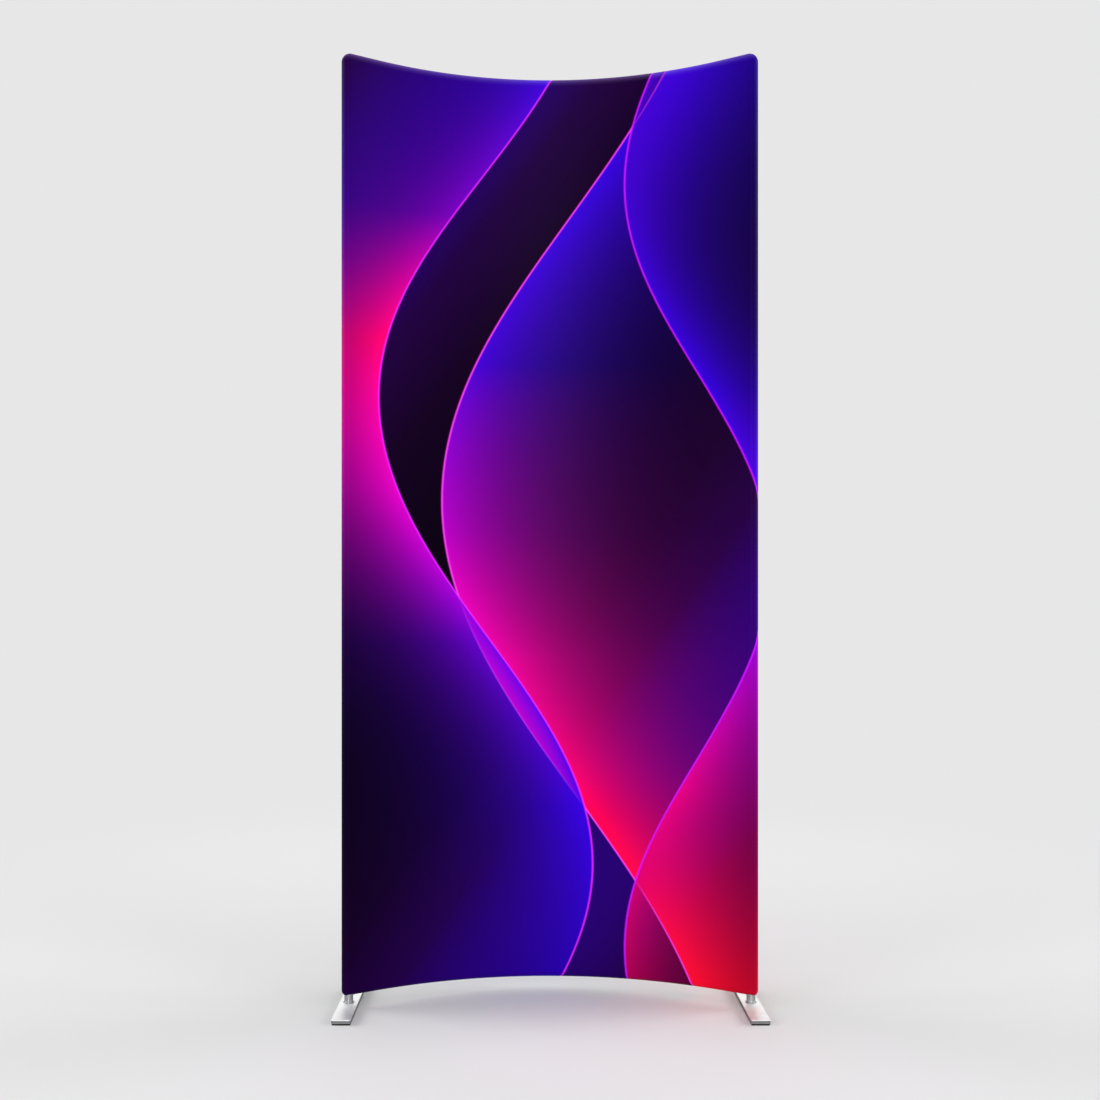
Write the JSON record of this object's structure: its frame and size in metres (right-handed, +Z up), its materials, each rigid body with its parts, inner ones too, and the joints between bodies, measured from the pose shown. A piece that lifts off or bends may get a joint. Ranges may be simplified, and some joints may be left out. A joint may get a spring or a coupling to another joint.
{
  "type": "curved tension fabric backwall",
  "caption": "Tall free-standing display wall: a printed stretch cover zipped over a curved tube frame, concave to the front, on flat bar feet that swivel.",
  "frame": {"origin": "on the floor, at the middle of the bounding box seen from above", "axes": "+X right and +Z up as seen by someone facing the concave printed front; +Y is back"},
  "size_m": [1.011, 0.2679, 2.29],
  "materials": {
    "cover_print": "dye-printed stretch polyester, satin",
    "tube_aluminium": "clear anodised",
    "fitting_plastic": "moulded glass-filled nylon",
    "cup_nylon": "natural nylon",
    "button_steel": "nickel plated",
    "spring_steel": "blued spring leaf",
    "rivet_aluminium": "satin",
    "zinc_steel": "zinc plated",
    "foot_plate_steel": "satin nickel plated",
    "post_steel": "polished nickel plated",
    "pad_rubber": "matt",
    "zip_tape": "woven polyester",
    "zip_teeth": "moulded coil",
    "zip_metal": "plated die casting"
  },
  "bodies": {
    "frame": {"cover_front": "cover_print", "cover_back": "cover_print", "top_rail": "tube_aluminium", "bottom_rail": "tube_aluminium", "crossbar": "tube_aluminium", "upright_left_lower": "tube_aluminium", "upright_left_upper": "tube_aluminium", "elbow_top_left": "fitting_plastic", "elbow_bottom_left": "fitting_plastic", "crossbar_socket_left": "fitting_plastic", "post_cup_left": "cup_nylon", "upright_right_lower": "tube_aluminium", "upright_right_upper": "tube_aluminium", "elbow_top_right": "fitting_plastic", "elbow_bottom_right": "fitting_plastic", "crossbar_socket_right": "fitting_plastic", "post_cup_right": "cup_nylon", "snap_springs": "spring_steel", "rail_rivets": "rivet_aluminium", "saddle_screws": "zinc_steel", "zip_tape_upper": "zip_tape", "zip_tape_lower": "zip_tape", "zip_teeth_upper": "zip_teeth", "zip_teeth_lower": "zip_teeth", "zip_stops": "zip_metal"},
    "foot_left": {"foot_plate_left": "foot_plate_steel", "foot_post_left": "post_steel", "foot_screw_left": "zinc_steel", "foot_pad_left": "pad_rubber"},
    "button_top_left": {"button_top_left": "button_steel"},
    "button_join_left": {"button_join_left": "button_steel"},
    "button_bottom_left": {"button_bottom_left": "button_steel"},
    "button_crossbar_left": {"button_crossbar_left": "button_steel"},
    "foot_right": {"foot_plate_right": "foot_plate_steel", "foot_post_right": "post_steel", "foot_screw_right": "zinc_steel", "foot_pad_right": "pad_rubber"},
    "button_top_right": {"button_top_right": "button_steel"},
    "button_join_right": {"button_join_right": "button_steel"},
    "button_bottom_right": {"button_bottom_right": "button_steel"},
    "button_crossbar_right": {"button_crossbar_right": "button_steel"},
    "zip_slider": {"zip_slider": "zip_metal"},
    "zip_pull": {"zip_pull": "zip_metal"}
  },
  "joints": [
    {"name": "foot_left_swivel", "type": "hinge", "parent": "frame", "child": "foot_left", "pos_m": [-0.483, -0.01896, 0.047], "axis": [0, 0, 1], "continuous": true},
    {"name": "button_top_left_press", "type": "slide", "parent": "frame", "child": "button_top_left", "axis": [-0.887, -0.4617, 0], "range_m": [0, 0.0033], "stiffness_N_per_m": 1500, "springref_m": -0.004, "deforming": ["snap_springs"]},
    {"name": "button_join_left_press", "type": "slide", "parent": "frame", "child": "button_join_left", "axis": [-0.887, -0.4617, 0], "range_m": [0, 0.0033], "stiffness_N_per_m": 1500, "springref_m": -0.004, "deforming": ["snap_springs"]},
    {"name": "button_bottom_left_press", "type": "slide", "parent": "frame", "child": "button_bottom_left", "axis": [-0.887, -0.4617, 0], "range_m": [0, 0.0033], "stiffness_N_per_m": 1500, "springref_m": -0.004, "deforming": ["snap_springs"]},
    {"name": "button_crossbar_left_press", "type": "slide", "parent": "frame", "child": "button_crossbar_left", "axis": [0, 0, -1], "range_m": [0, 0.0033], "stiffness_N_per_m": 1500, "springref_m": -0.004, "deforming": ["snap_springs"]},
    {"name": "foot_right_swivel", "type": "hinge", "parent": "frame", "child": "foot_right", "pos_m": [0.483, -0.01896, 0.047], "axis": [0, 0, 1], "continuous": true},
    {"name": "button_top_right_press", "type": "slide", "parent": "frame", "child": "button_top_right", "axis": [0.887, -0.4617, 0], "range_m": [0, 0.0033], "stiffness_N_per_m": 1500, "springref_m": -0.004, "deforming": ["snap_springs"]},
    {"name": "button_join_right_press", "type": "slide", "parent": "frame", "child": "button_join_right", "axis": [0.887, -0.4617, 0], "range_m": [0, 0.0033], "stiffness_N_per_m": 1500, "springref_m": -0.004, "deforming": ["snap_springs"]},
    {"name": "button_bottom_right_press", "type": "slide", "parent": "frame", "child": "button_bottom_right", "axis": [0.887, -0.4617, 0], "range_m": [0, 0.0033], "stiffness_N_per_m": 1500, "springref_m": -0.004, "deforming": ["snap_springs"]},
    {"name": "button_crossbar_right_press", "type": "slide", "parent": "frame", "child": "button_crossbar_right", "axis": [0, 0, -1], "range_m": [0, 0.0033], "stiffness_N_per_m": 1500, "springref_m": -0.004, "deforming": ["snap_springs"]},
    {"name": "zip_run", "type": "hinge", "parent": "frame", "child": "zip_slider", "pos_m": [0, -0.7952, 0.082], "axis": [0, 0, 1], "range_deg": [0, 51.16]},
    {"name": "zip_pull_swing", "type": "hinge", "parent": "zip_slider", "child": "zip_pull", "pos_m": [0.40291, 0.0465, 0.082], "axis": [0.902, -0.4318, 0], "range_deg": [-5, 170]}
  ]
}
